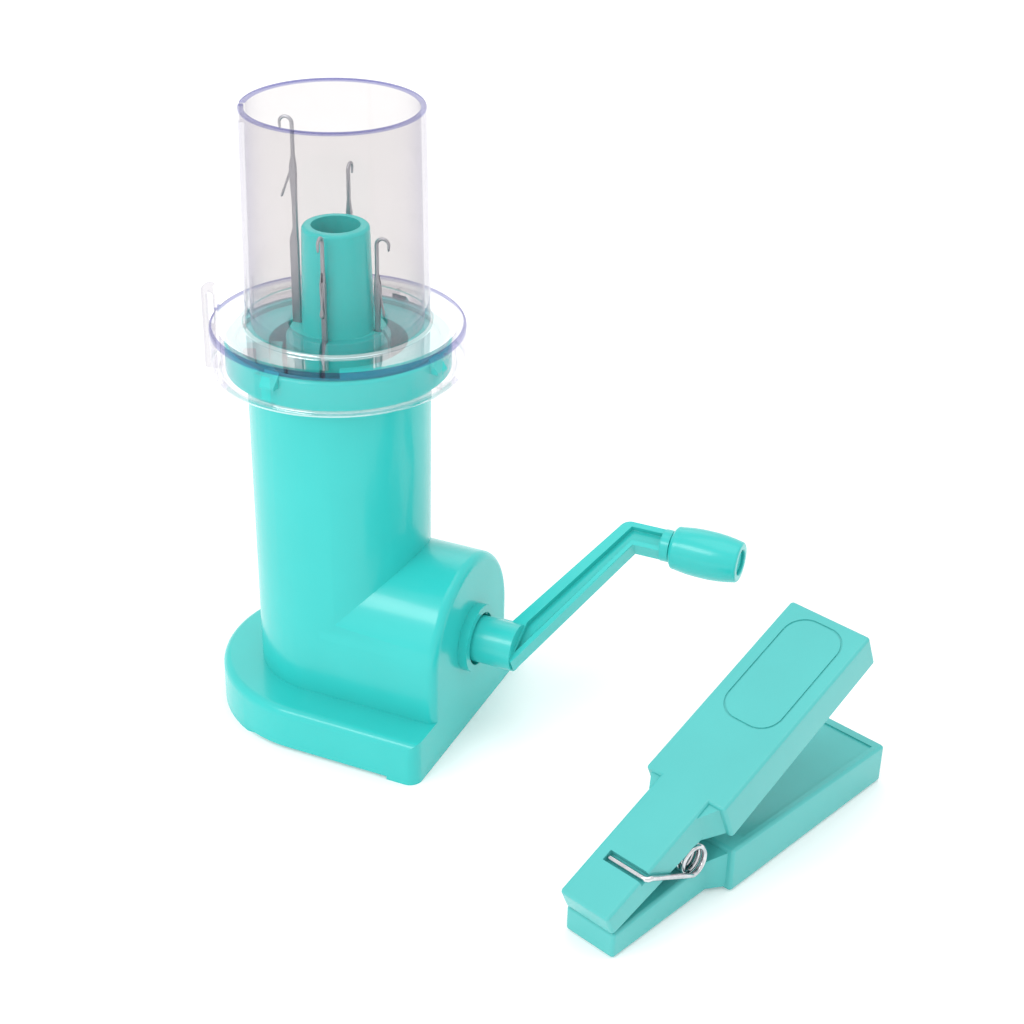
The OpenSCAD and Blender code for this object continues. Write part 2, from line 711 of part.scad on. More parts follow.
module clip_spring() {
    color(chrome) at_clip() swept_wire(spring_path, wire_d / 2, 8);
}

housing();
bottom_cover();
cover_screws();
cam_ring();
lift_cam();
stitch_cam();
shaft_bush();
clear_cover();
needle_cylinder();
thrust_washer();
crown_gear();
cylinder_circlip();
crank_shaft();
drive_pinion();
shaft_circlip();
crank_arm();
crank_knob();
needle(1);  // needle_1
needle(2);  // needle_2
needle(3);  // needle_3
needle(4);  // needle_4
latch_rivet(1);  // latch_rivet_1
latch_rivet(2);  // latch_rivet_2
latch_rivet(3);  // latch_rivet_3
latch_rivet(4);  // latch_rivet_4
latch(1);  // latch_1
latch(2);  // latch_2
latch(3);  // latch_3
latch(4);  // latch_4
clip_lower_lever();
clip_upper_lever();
clip_spring();
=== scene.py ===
"""Looks of a hand-cranked cord knitting mill and its cord clip, built around the packed CAD frame.

Shapes are worked out in millimetres and become metres when a piece is made. Every piece but the
spring's coil rides on the CAD body that it belongs to, so the model can be posed.
"""
import json
import math

import bmesh
import bpy
from bpy.props import FloatProperty, FloatVectorProperty, IntProperty, PointerProperty
from bpy.types import Operator, Panel, PropertyGroup, Scene
from mathutils import Matrix, Vector


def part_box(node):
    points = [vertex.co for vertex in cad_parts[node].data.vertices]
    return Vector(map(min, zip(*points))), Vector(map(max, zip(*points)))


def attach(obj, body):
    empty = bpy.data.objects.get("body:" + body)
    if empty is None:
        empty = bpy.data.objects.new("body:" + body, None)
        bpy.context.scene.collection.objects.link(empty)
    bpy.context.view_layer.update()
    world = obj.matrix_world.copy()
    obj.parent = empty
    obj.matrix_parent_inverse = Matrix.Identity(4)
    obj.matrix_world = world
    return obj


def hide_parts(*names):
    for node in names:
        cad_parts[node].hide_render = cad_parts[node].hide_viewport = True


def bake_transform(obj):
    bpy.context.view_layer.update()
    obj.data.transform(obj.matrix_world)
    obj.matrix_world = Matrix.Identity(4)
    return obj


bl_info = {
    "name": "Cord Knitting Mill",
    "version": (1, 0, 0),
    "blender": (4, 5, 0),
    "location": "3D View > Sidebar > Knitting Mill",
    "description": "Builds the looks of a cord knitting mill around its CAD frame",
    "category": "Add Mesh",
}

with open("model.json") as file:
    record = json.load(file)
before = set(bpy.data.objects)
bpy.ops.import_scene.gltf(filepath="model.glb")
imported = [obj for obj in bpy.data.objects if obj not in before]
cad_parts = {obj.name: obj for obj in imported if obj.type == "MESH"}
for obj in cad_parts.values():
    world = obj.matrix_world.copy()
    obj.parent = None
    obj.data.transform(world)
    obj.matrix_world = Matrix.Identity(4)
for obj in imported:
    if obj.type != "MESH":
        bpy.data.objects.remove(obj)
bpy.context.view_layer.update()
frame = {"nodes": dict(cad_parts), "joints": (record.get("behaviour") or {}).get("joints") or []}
JOINTS = {joint["name"]: joint for joint in frame["joints"]}
MM = 0.001
TURN = 2 * math.pi
NEEDLES = (1, 2, 3, 4)


def box_mm(node):
    """Lowest and highest corner of a CAD node, in millimetres."""
    low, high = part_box(node)
    return low / MM, high / MM


COVER_LOW, COVER_HIGH = box_mm("clear_cover")
KNOB_LOW, KNOB_HIGH = box_mm("crank_knob")


# ---- places that follow from the CAD joints ---------------------------------


def pivot(joint):
    """A joint's place in millimetres."""
    return Vector(JOINTS[joint]["pos_m"]) / MM


def frame_from(x_axis, y_axis, origin):
    """Matrix of a local frame, in millimetres."""
    z_axis = x_axis.cross(y_axis)
    matrix = Matrix((x_axis, y_axis, z_axis)).transposed().to_4x4()
    matrix.translation = origin
    return matrix


def knob_frame():
    """Local Z runs along the knob from its inner end, and local X points away from the shaft."""
    pin = pivot("knob_spin")
    shaft = pivot("crank_turn")
    along = Vector(JOINTS["knob_spin"]["axis"])
    outward = (pin - shaft) - along * (pin - shaft).dot(along)
    side = along.cross(outward.normalized())
    start = Vector((KNOB_LOW.x, pin.y, pin.z))
    return frame_from(outward.normalized(), side, start)


def needle_frame(number):
    """Local X points away from the needle axis, and the origin is the top of the hook."""
    _, high = box_mm(f"needle_{number}")
    swing = Vector(JOINTS[f"latch_swing_{number}"]["axis"])
    outward = Vector((-swing.y, swing.x, 0)).normalized()
    place = pivot(f"latch_swing_{number}")
    offset = bpy.context.scene.mill_needles.pivot_out / MM
    top = Vector((place.x, place.y, high.z)) - outward * offset
    return frame_from(outward, Vector((0, 0, 1)).cross(outward), top)


def clip_frame():
    """Local X runs from the clip's jaw to its grip along the table, and Z is up."""
    sizes = bpy.context.scene.mill_clip
    across = Vector(JOINTS["clip_squeeze"]["axis"]).normalized()
    along = across.cross(Vector((0, 0, 1)))
    coil = pivot("clip_squeeze")
    return frame_from(along, across, Vector((coil.x, coil.y, 0)) - along * sizes.fulcrum / MM)


# ---- outlines ---------------------------------------------------------------


def arc(centre, radius, start, end, steps):
    """Points of a circular arc in a plane, with both ends."""
    angles = [start + (end - start) * k / steps for k in range(steps + 1)]
    return [(centre[0] + radius * math.cos(a), centre[1] + radius * math.sin(a)) for a in angles]


def filleted(corners, steps=5):
    """Outline through corners given as (x, y, radius), with each corner rounded off."""
    outline = []
    for k, (x, y, radius) in enumerate(corners):
        here = Vector((x, y))
        back = Vector(corners[k - 1][:2]) - here
        ahead = Vector(corners[(k + 1) % len(corners)][:2]) - here
        if radius <= 0:
            outline.append((x, y))
            continue
        half = back.angle(ahead) / 2
        reach = min(radius / math.tan(half), 0.49 * back.length, 0.49 * ahead.length)
        start, end = here + back.normalized() * reach, here + ahead.normalized() * reach
        for j in range(steps + 1):
            t = j / steps
            outline.append(tuple((1 - t) ** 2 * start + 2 * t * (1 - t) * here + t * t * end))
    return outline


# ---- meshes -----------------------------------------------------------------


def lathed(outline, steps=128):
    """Closed outline of (radius, height) turned about Z."""
    bm = bmesh.new()
    rings = []
    for k in range(steps):
        angle = TURN * k / steps
        rings.append([bm.verts.new((r * math.cos(angle), r * math.sin(angle), z))
                      for r, z in outline])
    for k in range(steps):
        here, after = rings[k], rings[(k + 1) % steps]
        for j in range(len(outline)):
            i = (j + 1) % len(outline)
            bm.faces.new((here[j], after[j], after[i], here[i]))
    bmesh.ops.recalc_face_normals(bm, faces=bm.faces)
    return bm


def extruded(outline, low, high):
    """Closed outline in X and Y, as a prism between two heights."""
    bm = bmesh.new()
    face = bm.faces.new([bm.verts.new((x, y, low)) for x, y in outline])
    grown = bmesh.ops.extrude_face_region(bm, geom=[face])
    lifted = [v for v in grown["geom"] if isinstance(v, bmesh.types.BMVert)]
    bmesh.ops.translate(bm, verts=lifted, vec=(0, 0, high - low))
    bmesh.ops.recalc_face_normals(bm, faces=bm.faces)
    return bm


def block(low, high):
    """Box between two corners, for cutting."""
    x0, y0, z0 = low
    x1, y1, z1 = high
    return extruded([(x0, y0), (x1, y0), (x1, y1), (x0, y1)], z0, z1)


def ring_of(centre, wide, thin, squareness, sides):
    """Points of a section between an ellipse (squareness 2) and a rounded rectangle."""
    points = []
    for k in range(sides):
        angle = TURN * (k + 0.5) / sides
        c, s = math.cos(angle), math.sin(angle)
        x = math.copysign(abs(c) ** (2 / squareness), c)
        y = math.copysign(abs(s) ** (2 / squareness), s)
        points.append(centre + wide * x + thin * y)
    return points


def skinned(rings):
    """Surface through rings with the same number of points, closed at both ends."""
    bm = bmesh.new()
    verts = [[bm.verts.new(point) for point in ring] for ring in rings]
    for here, after in zip(verts, verts[1:]):
        for j in range(len(here)):
            i = (j + 1) % len(here)
            bm.faces.new((here[j], here[i], after[i], after[j]))
    bm.faces.new(verts[0])
    bm.faces.new(verts[-1])
    bmesh.ops.recalc_face_normals(bm, faces=bm.faces)
    return bm


def swept_wire(path, radius, sides=12):
    """Round wire along a path, without twist and with rounded ends."""
    tangents = []
    for k in range(len(path)):
        ahead, behind = path[min(k + 1, len(path) - 1)], path[max(k - 1, 0)]
        tangents.append((ahead - behind).normalized())
    side = tangents[0].orthogonal().normalized()
    rings = []
    for k, (point, tangent) in enumerate(zip(path, tangents)):
        side = (side - tangent * side.dot(tangent)).normalized()
        other = tangent.cross(side)
        rings.append(ring_of(point, side * radius, other * radius, 2, sides))
        if k in (0, len(path) - 1):
            sign = 1 if k else -1
            caps = [(0.5, 0.85), (0.85, 0.5)]
            dome = [ring_of(point + tangent * (sign * out * radius), side * (radius * size),
                            other * (radius * size), 2, sides) for out, size in caps]
            rings = rings + dome if sign > 0 else dome[::-1] + rings
    return skinned(rings)


def eased(path, steps=4):
    """The path with points added on a smooth line through it."""
    points = []
    for k in range(len(path) - 1):
        before, start = path[max(k - 1, 0)], path[k]
        end, after = path[k + 1], path[min(k + 2, len(path) - 1)]
        pull = min((end - start).length, 2.0) / 2
        first = (end - before).normalized() * pull
        last = (after - start).normalized() * pull
        for j in range(steps):
            t = j / steps
            points.append(start * (2 * t ** 3 - 3 * t ** 2 + 1) + first * (t ** 3 - 2 * t ** 2 + t)
                          + end * (3 * t ** 2 - 2 * t ** 3) + last * (t ** 3 - t ** 2))
    return points + [path[-1]]


def swept_blade(stations, to_point, thin):
    """Flat stamping along stations (along, across, half width, half thickness, squareness)."""
    rings = []
    points = [to_point(s[0], s[1]) for s in stations]
    for k, (_, _, half_w, half_t, squareness) in enumerate(stations):
        run = points[min(k + 1, len(points) - 1)] - points[max(k - 1, 0)]
        wide = thin.cross(run).normalized()
        rings.append(ring_of(points[k], wide * half_w, thin * half_t, squareness, 16))
    return skinned(rings)


def moved(bm, matrix):
    """The mesh after its points are moved by the matrix."""
    bmesh.ops.transform(bm, matrix=matrix, verts=bm.verts)
    return bm


def turned(bm, angle):
    """The mesh turned about Z."""
    return moved(bm, Matrix.Rotation(angle, 4, "Z"))


def smoothed(mesh, angle=math.radians(32)):
    """Smooth shading that keeps edges sharper than the angle."""
    mesh.shade_smooth()
    mesh.set_sharp_from_angle(angle=angle)


def made_object(name, bm, matrix=Matrix.Identity(4)):
    """Object in metres from a mesh in millimetres."""
    moved(bm, Matrix.Scale(MM, 4) @ matrix)
    mesh = bpy.data.meshes.new(name)
    bm.to_mesh(mesh)
    bm.free()
    smoothed(mesh)
    obj = bpy.data.objects.new(name, mesh)
    bpy.context.scene.collection.objects.link(obj)
    return obj


def baked(obj):
    """The object with its modifiers made part of its mesh."""
    graph = bpy.context.evaluated_depsgraph_get()
    mesh = bpy.data.meshes.new_from_object(obj.evaluated_get(graph))
    obj.modifiers.clear()
    obj.data = mesh
    return obj


def carved(obj, cutters, operation="DIFFERENCE"):
    """Cuts meshes in millimetres from the object, or adds them."""
    for bm in cutters:
        tool = made_object("tool", bm)
        change = obj.modifiers.new("carve", "BOOLEAN")
        change.object = tool
        change.operation = operation
        change.solver = "EXACT"
        baked(obj)
        bpy.data.objects.remove(tool)
    smoothed(obj.data)
    return obj


def edge_rounded(obj, width, segments=3, angle=30):
    """Rounds the object's sharp edges to a width in millimetres."""
    bevel = obj.modifiers.new("edges", "BEVEL")
    bevel.width = width * MM
    bevel.segments = segments
    bevel.limit_method = "ANGLE"
    bevel.angle_limit = math.radians(angle)
    bevel.miter_outer = "MITER_ARC"
    bevel.use_clamp_overlap = True
    bevel.loop_slide = True
    baked(obj)
    smoothed(obj.data, math.radians(40))
    level = obj.modifiers.new("normals", "WEIGHTED_NORMAL")
    level.keep_sharp = True
    return obj


def refined_copy(node, name):
    """A new mesh with a CAD node's shape and with its flat facets merged."""
    bm = bmesh.new()
    bm.from_mesh(frame["nodes"][node].data)
    bmesh.ops.remove_doubles(bm, verts=bm.verts, dist=0.004 * MM)
    bmesh.ops.dissolve_degenerate(bm, edges=bm.edges, dist=0.004 * MM)
    bmesh.ops.dissolve_limit(bm, angle_limit=math.radians(0.6), verts=bm.verts, edges=bm.edges)
    bmesh.ops.recalc_face_normals(bm, faces=bm.faces)
    return made_object(name, moved(bm, Matrix.Scale(1 / MM, 4)))


def settle(obj, material, slot, body, *replaced):
    """Gives the piece its finish and its body, and hides the CAD nodes that it stands for."""
    obj.data.materials.clear()
    obj.data.materials.append(material)
    if body:
        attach(obj, body)
    if replaced:
        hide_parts(*replaced)
    return obj


def moulding(node, name, material, body, width, angle=30):
    """Rounded copy of a mint CAD node that stands in its place."""
    piece = edge_rounded(refined_copy(node, name), width, 3, angle)
    return settle(piece, material_named(material), "mint_plastic", body, node)


def coat_node(node, material):
    """Puts a finish on a CAD node that keeps its own shape."""
    slots = frame["nodes"][node].data.materials
    slots.clear()
    slots.append(material)


# ---- shader node groups -----------------------------------------------------


def add_node(tree, kind, settings=None, sockets=None):
    """A node with its settings made, and its sockets set or linked."""
    node = tree.nodes.new(kind)
    for key, value in (settings or {}).items():
        setattr(node, key, value)
    for key, value in (sockets or {}).items():
        if isinstance(value, bpy.types.NodeSocket):
            tree.links.new(value, node.inputs[key])
        else:
            node.inputs[key].default_value = value
    return node


def new_group(name, inputs, outputs):
    """Empty shader group with named sockets."""
    tree = bpy.data.node_groups.new(name, "ShaderNodeTree")
    kinds = {"colour": "NodeSocketColor", "number": "NodeSocketFloat", "vector": "NodeSocketVector"}
    for label, kind in inputs:
        tree.interface.new_socket(name=label, in_out="INPUT", socket_type=kinds[kind])
    for label, kind in outputs:
        tree.interface.new_socket(name=label, in_out="OUTPUT", socket_type=kinds[kind])
    return tree, tree.nodes.new("NodeGroupInput"), tree.nodes.new("NodeGroupOutput")


def math_node(tree, operation, first, second):
    """Output of a two-number Math node."""
    node = add_node(tree, "ShaderNodeMath", {"operation": operation}, {0: first, 1: second})
    return node.outputs[0]


def mixed_colour(tree, share, first, second):
    """Output of a Mix node between two colours."""
    node = add_node(tree, "ShaderNodeMix", {"data_type": "RGBA"}, {0: share, 6: first, 7: second})
    return node.outputs[2]


def noise_value(tree, place, scale, detail, roughness=0.5):
    """Output of a Noise Texture node."""
    node = add_node(tree, "ShaderNodeTexNoise", None,
                    {"Vector": place, "Scale": scale, "Detail": detail, "Roughness": roughness})
    return node.outputs["Fac"]


def skin_group(name, second_colour):
    """Empty group for a surface, with its colours, grain, roughness and their outputs."""
    return new_group(
        name,
        [("Colour", "colour"), (second_colour, "colour"), ("Grain", "number"),
         ("Roughness", "number"), ("Spread", "number")],
        [("Colour", "colour"), ("Roughness", "number"), ("Height", "number")])


def skin_outputs(tree, given, put, colour, unevenness, height):
    """Links a skin group's outputs, with the roughness spread by a noise about its middle."""
    uneven = math_node(tree, "SUBTRACT", unevenness, 0.5)
    spread = math_node(tree, "MULTIPLY", uneven, given.outputs["Spread"])
    rough = math_node(tree, "ADD", given.outputs["Roughness"], spread)
    tree.links.new(colour, put.inputs["Colour"])
    tree.links.new(rough, put.inputs["Roughness"])
    tree.links.new(height, put.inputs["Height"])


def group_node(tree, group, sockets):
    """Node that uses one of the shared groups."""
    shared = bpy.data.node_groups[group]
    return add_node(tree, "ShaderNodeGroup", {"node_tree": shared}, sockets)


def moulded_skin():
    """Faint tint clouds, uneven gloss and fine orange peel of moulded plastic."""
    tree, given, put = skin_group("Moulded Skin", "Deep Colour")
    place = add_node(tree, "ShaderNodeTexCoord").outputs["Object"]
    clouds = noise_value(tree, place, 38.0, 3.0)
    peel = noise_value(tree, place, given.outputs["Grain"], 2.0)
    handled = noise_value(tree, place, 120.0, 5.0, 0.65)
    share = add_node(tree, "ShaderNodeMapRange", None, {"Value": clouds, 1: 0.35, 2: 0.65})
    mixed = mixed_colour(tree, share.outputs[0], given.outputs["Colour"],
                         given.outputs["Deep Colour"])
    skin_outputs(tree, given, put, mixed, handled, peel)
    return tree


def parting_line():
    """Mask of the thin line that a mould's joint leaves where a plane cuts the piece."""
    tree, given, put = new_group(
        "Parting Line",
        [("Across", "vector"), ("Offset", "number"), ("Width", "number")],
        [("Mask", "number")])
    place = add_node(tree, "ShaderNodeTexCoord").outputs["Object"]
    reach = add_node(tree, "ShaderNodeVectorMath", {"operation": "DOT_PRODUCT"},
                     {0: place, 1: given.outputs["Across"]})
    off = math_node(tree, "SUBTRACT", reach.outputs["Value"], given.outputs["Offset"])
    distance = add_node(tree, "ShaderNodeMath", {"operation": "ABSOLUTE"}, {0: off})
    mask = add_node(tree, "ShaderNodeMapRange", {"interpolation_type": "SMOOTHSTEP"},
                    {"Value": distance.outputs[0], 1: 0.0, 2: given.outputs["Width"],
                     3: 1.0, 4: 0.0})
    tree.links.new(mask.outputs[0], put.inputs["Mask"])
    return tree


def edge_band():
    """Mask of a level band that lies between two radii about Z."""
    tree, given, put = new_group(
        "Edge Band",
        [("Height", "number"), ("Reach", "number"), ("Inner Radius", "number"),
         ("Outer Radius", "number")],
        [("Mask", "number")])
    place = add_node(tree, "ShaderNodeTexCoord").outputs["Object"]
    level = add_node(tree, "ShaderNodeSeparateXYZ", None, {0: place}).outputs["Z"]
    off = math_node(tree, "SUBTRACT", level, given.outputs["Height"])
    distance = add_node(tree, "ShaderNodeMath", {"operation": "ABSOLUTE"}, {0: off})
    full_share = 0.6
    full = math_node(tree, "MULTIPLY", given.outputs["Reach"], full_share)
    band = add_node(tree, "ShaderNodeMapRange", {"interpolation_type": "SMOOTHSTEP"},
                    {"Value": distance.outputs[0], 1: full, 2: given.outputs["Reach"],
                     3: 1.0, 4: 0.0})
    flat = add_node(tree, "ShaderNodeVectorMath", {"operation": "MULTIPLY"},
                    {0: place, 1: (1, 1, 0)})
    length = add_node(tree, "ShaderNodeVectorMath", {"operation": "LENGTH"}, {0: flat.outputs[0]})
    radius = length.outputs["Value"]
    outside = math_node(tree, "GREATER_THAN", radius, given.outputs["Inner Radius"])
    inside = math_node(tree, "LESS_THAN", radius, given.outputs["Outer Radius"])
    between = math_node(tree, "MULTIPLY", outside, inside)
    mask = math_node(tree, "MULTIPLY", band.outputs[0], between)
    tree.links.new(mask, put.inputs["Mask"])
    return tree


def drawn_metal():
    """Fine streaks along Z and darker stained patches of drawn or stamped metal."""
    tree, given, put = skin_group("Drawn Metal", "Stain")
    place = add_node(tree, "ShaderNodeTexCoord").outputs["Object"]
    long = add_node(tree, "ShaderNodeMapping", None, {"Vector": place, "Scale": (1.0, 1.0, 0.08)})
    streaks = noise_value(tree, long.outputs[0], given.outputs["Grain"], 4.0)
    patches = noise_value(tree, place, 320.0, 6.0, 0.7)
    share = add_node(tree, "ShaderNodeMapRange", None, {"Value": patches, 1: 0.42, 2: 0.68})
    mixed = mixed_colour(tree, share.outputs[0], given.outputs["Colour"], given.outputs["Stain"])
    skin_outputs(tree, given, put, mixed, streaks, streaks)
    return tree


# ---- finishes ---------------------------------------------------------------


def new_material(name):
    """Material with its Principled shader."""
    material = bpy.data.materials.new(name)
    material.use_nodes = True
    return material, material.node_tree, material.node_tree.nodes["Principled BSDF"]


def use_group(tree, shader, group, sockets, bump_share, bump_depth):
    """Feeds a shader from a skin or metal group, and returns its bump node."""
    skin = group_node(tree, group, sockets)
    tree.links.new(skin.outputs["Colour"], shader.inputs["Base Color"])
    tree.links.new(skin.outputs["Roughness"], shader.inputs["Roughness"])
    bump = add_node(tree, "ShaderNodeBump", None,
                    {"Strength": bump_share, "Distance": bump_depth * MM,
                     "Height": skin.outputs["Height"]})
    tree.links.new(bump.outputs[0], shader.inputs["Normal"])
    return bump


def mint_material(name, colour, seams=()):
    """Glossy mint moulding, with parting lines at (direction, offset in millimetres)."""
    finish = bpy.context.scene.mill_finish
    deep_share, seam_width = 0.955, 0.16
    deep = tuple(deep_share * part for part in colour)
    material, tree, shader = new_material(name)
    bump = use_group(tree, shader, "Moulded Skin",
                     {"Colour": (*colour, 1), "Deep Colour": (*deep, 1), "Grain": 900.0,
                      "Roughness": finish.gloss, "Spread": 0.09}, 0.10, 0.02)
    shader.inputs["IOR"].default_value = 1.46
    shader.inputs["Coat Weight"].default_value = 0.15
    shader.inputs["Coat Roughness"].default_value = 0.06
    height = bump.inputs["Height"].links[0].from_socket
    for across, offset in seams:
        line = group_node(tree, "Parting Line",
                          {"Across": across, "Offset": offset * MM, "Width": seam_width * MM})
        height = math_node(tree, "ADD", height, line.outputs["Mask"])
    tree.links.new(height, bump.inputs["Height"])
    return material


def nylon_material():
    """Natural nylon of the gears and the shaft bush."""
    material, tree, shader = new_material("natural_nylon")
    use_group(tree, shader, "Moulded Skin",
              {"Colour": (0.83, 0.82, 0.76, 1), "Deep Colour": (0.76, 0.74, 0.66, 1),
               "Grain": 1500.0, "Roughness": 0.42, "Spread": 0.2}, 0.2, 0.03)
    shader.inputs["Subsurface Weight"].default_value = 0.08
    shader.inputs["Subsurface Scale"].default_value = 1.5 * MM
    return material


def metal_material(name, colour, stain, grain, roughness, spread):
    """Bare metal with streaks and stains."""
    material, tree, shader = new_material(name)
    use_group(tree, shader, "Drawn Metal",
              {"Colour": (*colour, 1), "Stain": (*stain, 1), "Grain": grain,
               "Roughness": roughness, "Spread": spread}, 0.12, 0.02)
    shader.inputs["Metallic"].default_value = 1.0
    return material


def band_mask(tree, height, reach, inner, outer):
    """Output of an Edge Band group, from sizes in millimetres."""
    sizes = {"Height": height, "Reach": reach, "Inner Radius": inner, "Outer Radius": outer}
    node = group_node(tree, "Edge Band", {key: size * MM for key, size in sizes.items()})
    return node.outputs["Mask"]


def clear_material():
    """Thin clear plastic: tinted light comes through, steep faces and edges turn lavender, and two
    lines on the flange get a painted highlight.
    """
    finish = bpy.context.scene.mill_finish
    cover = bpy.context.scene.mill_cover
    flange, rim = cover.flange_top / MM, cover.skirt_radius / MM
    foot, low, top = cover.tube_low / MM, cover.skirt_low / MM, COVER_HIGH.z
    past_rim = rim + 0.05
    flange_tint, eye_tint = (0.955, 0.95, 0.948, 1), (0.86, 0.85, 0.86, 1)
    # The near-white colour on the next line and the last share below paint the highlight lines of
    # the flange
    untinted, painted_highlight_colour = (1, 1, 1, 1), (0.95, 0.97, 0.98, 1)
    steepness, steep_share, least_share, painted_highlight_share = 3.6, 0.8, 0.025, 0.42

    material, tree, shader = new_material("clear_styrene")
    use_group(tree, shader, "Moulded Skin",
              {"Colour": (*finish.edge, 1), "Deep Colour": (*finish.edge_deep, 1), "Grain": 160.0,
               "Roughness": 0.05, "Spread": 0.04}, 0.04, 0.02)
    shader.inputs["Metallic"].default_value = 1.0

    # Masks of the two rims, the tube, the yarn eye and the two painted highlight lines of the flange
    rims = math_node(tree, "MAXIMUM", band_mask(tree, top, 0.8, 0, rim),
                     band_mask(tree, flange - 0.7, 1.2, rim - 0.8, past_rim))
    tube = band_mask(tree, (flange + top) / 2, 45, foot - 4, foot + 0.3)
    eye = band_mask(tree, flange - 5, 26, rim + 0.06, rim + 9)
    # Bands of painted highlight: along the skirt's lower edge and on the flange by the tube
    painted_highlight_lines = math_node(tree, "MAXIMUM", band_mask(tree, low, 0.8, foot, past_rim),
                      band_mask(tree, flange + 0.35, 0.55, foot - 0.25, rim - 2))

    # Only what the camera and reflections see is tinted, so the cover casts no shade
    path = add_node(tree, "ShaderNodeLightPath")
    seen = math_node(tree, "MAXIMUM", path.outputs["Is Camera Ray"], path.outputs["Is Glossy Ray"])
    tint = mixed_colour(tree, tube, flange_tint, (*finish.clear, 1))
    tint = mixed_colour(tree, eye, tint, eye_tint)
    tint = mixed_colour(tree, rims, tint, (*finish.clear_deep, 1))
    tint = mixed_colour(tree, seen, untinted, tint)
    through = add_node(tree, "ShaderNodeBsdfTransparent", None, {"Color": tint})

    # The glossy surface takes over on steep faces and along the two lines of painted highlight
    facing = add_node(tree, "ShaderNodeLayerWeight", None, {"Blend": 0.5}).outputs["Facing"]
    steep = math_node(tree, "POWER", facing, steepness)
    share = add_node(tree, "ShaderNodeMath", {"operation": "MULTIPLY_ADD"},
                     {0: steep, 1: steep_share, 2: least_share})
    # The painted highlight lines raise the glossy surface's share
    bright = add_node(tree, "ShaderNodeMath", {"operation": "MULTIPLY_ADD", "use_clamp": True},
                      {0: painted_highlight_lines, 1: painted_highlight_share, 2: share.outputs[0]})
    visible = math_node(tree, "MULTIPLY", bright.outputs[0], seen)
    base = shader.inputs["Base Color"].links[0].from_socket
    # Painted highlight: the glossy surface's colour turns near white along the two lines
    tree.links.new(mixed_colour(tree, painted_highlight_lines, base, painted_highlight_colour), shader.inputs["Base Color"])
    mix = add_node(tree, "ShaderNodeMixShader", None,
                   {0: visible, 1: through.outputs[0], 2: shader.outputs[0]})
    tree.links.new(mix.outputs[0], tree.nodes["Material Output"].inputs["Surface"])
    return material


def material_named(name):
    """A finish made by the finishes operator."""
    return bpy.data.materials[name]


# ---- settings ---------------------------------------------------------------


class MillFinish(PropertyGroup):
    """Colours and gloss of the mill's mouldings."""

    mint: FloatVectorProperty(
        name="Mint", description="Colour of the mint plastic", subtype="COLOR", size=3,
        min=0, max=1, default=(0.03, 0.545, 0.52))
    gloss: FloatProperty(
        name="Roughness", description="Roughness of the mint plastic", subtype="FACTOR",
        min=0, max=1, default=0.24)
    clear: FloatVectorProperty(
        name="Clear tint", description="Tint of the clear plastic", subtype="COLOR", size=3,
        min=0, max=1, default=(0.905, 0.895, 0.892))
    clear_deep: FloatVectorProperty(
        name="Deep clear tint", description="Tint of the clear plastic at its rims", subtype="COLOR",
        size=3, min=0, max=1, default=(0.46, 0.46, 0.68))
    edge: FloatVectorProperty(
        name="Clear edge", description="Colour of the clear plastic's steep faces", subtype="COLOR",
        size=3, min=0, max=1, default=(0.68, 0.67, 0.76))
    edge_deep: FloatVectorProperty(
        name="Deep clear edge", description="Colour of the clear plastic's steep faces in places",
        subtype="COLOR", size=3, min=0, max=1, default=(0.60, 0.59, 0.72))
    clip: FloatVectorProperty(
        name="Clip mint", description="Colour of the cord clip's plastic", subtype="COLOR", size=3,
        min=0, max=1, default=(0.085, 0.50, 0.485))


class MillCover(PropertyGroup):
    """Sizes of the clear cover."""

    tube_top: FloatProperty(
        name="Tube radius at top", description="Outer radius of the clear tube at its rim",
        unit="LENGTH", default=22 * MM)
    tube_low: FloatProperty(
        name="Tube radius at flange", description="Outer radius of the clear tube at its flange",
        unit="LENGTH", default=22.9 * MM)
    wall: FloatProperty(
        name="Wall", description="Wall thickness of the clear tube", unit="LENGTH",
        default=1.4 * MM)
    flange_top: FloatProperty(
        name="Flange height", description="Height of the top of the flange", unit="LENGTH",
        default=109.1 * MM)
    skirt_radius: FloatProperty(
        name="Skirt radius", description="Outer radius of the skirt", unit="LENGTH",
        default=31.8 * MM)
    skirt_low: FloatProperty(
        name="Skirt height", description="Height of the skirt's lower edge", unit="LENGTH",
        default=97.6 * MM)


class MillNeedles(PropertyGroup):
    """Sizes of a latch needle."""

    hook_radius: FloatProperty(
        name="Hook radius", description="Radius of the hook's centre line", unit="LENGTH",
        default=1.55 * MM)
    wire_radius: FloatProperty(
        name="Hook wire", description="Radius of the hook's wire", unit="LENGTH", default=0.5 * MM)
    shank: FloatProperty(
        name="Length", description="Length from the hook's top to the foot", unit="LENGTH",
        default=66 * MM)
    pivot_out: FloatProperty(
        name="Rivet offset", description="How far the rivet stands out from the needle's middle",
        unit="LENGTH", default=0.35 * MM)
    pivot_drop: FloatProperty(
        name="Rivet depth", description="How far the rivet lies below the hook's top", unit="LENGTH",
        default=12.5 * MM)
    latch: FloatProperty(
        name="Latch length", description="Length of the latch from its rivet", unit="LENGTH",
        default=8.5 * MM)
    closing: FloatProperty(
        name="Closing angle", description="Angle between the closed latch and the needle's stem",
        subtype="ANGLE", default=math.radians(16))


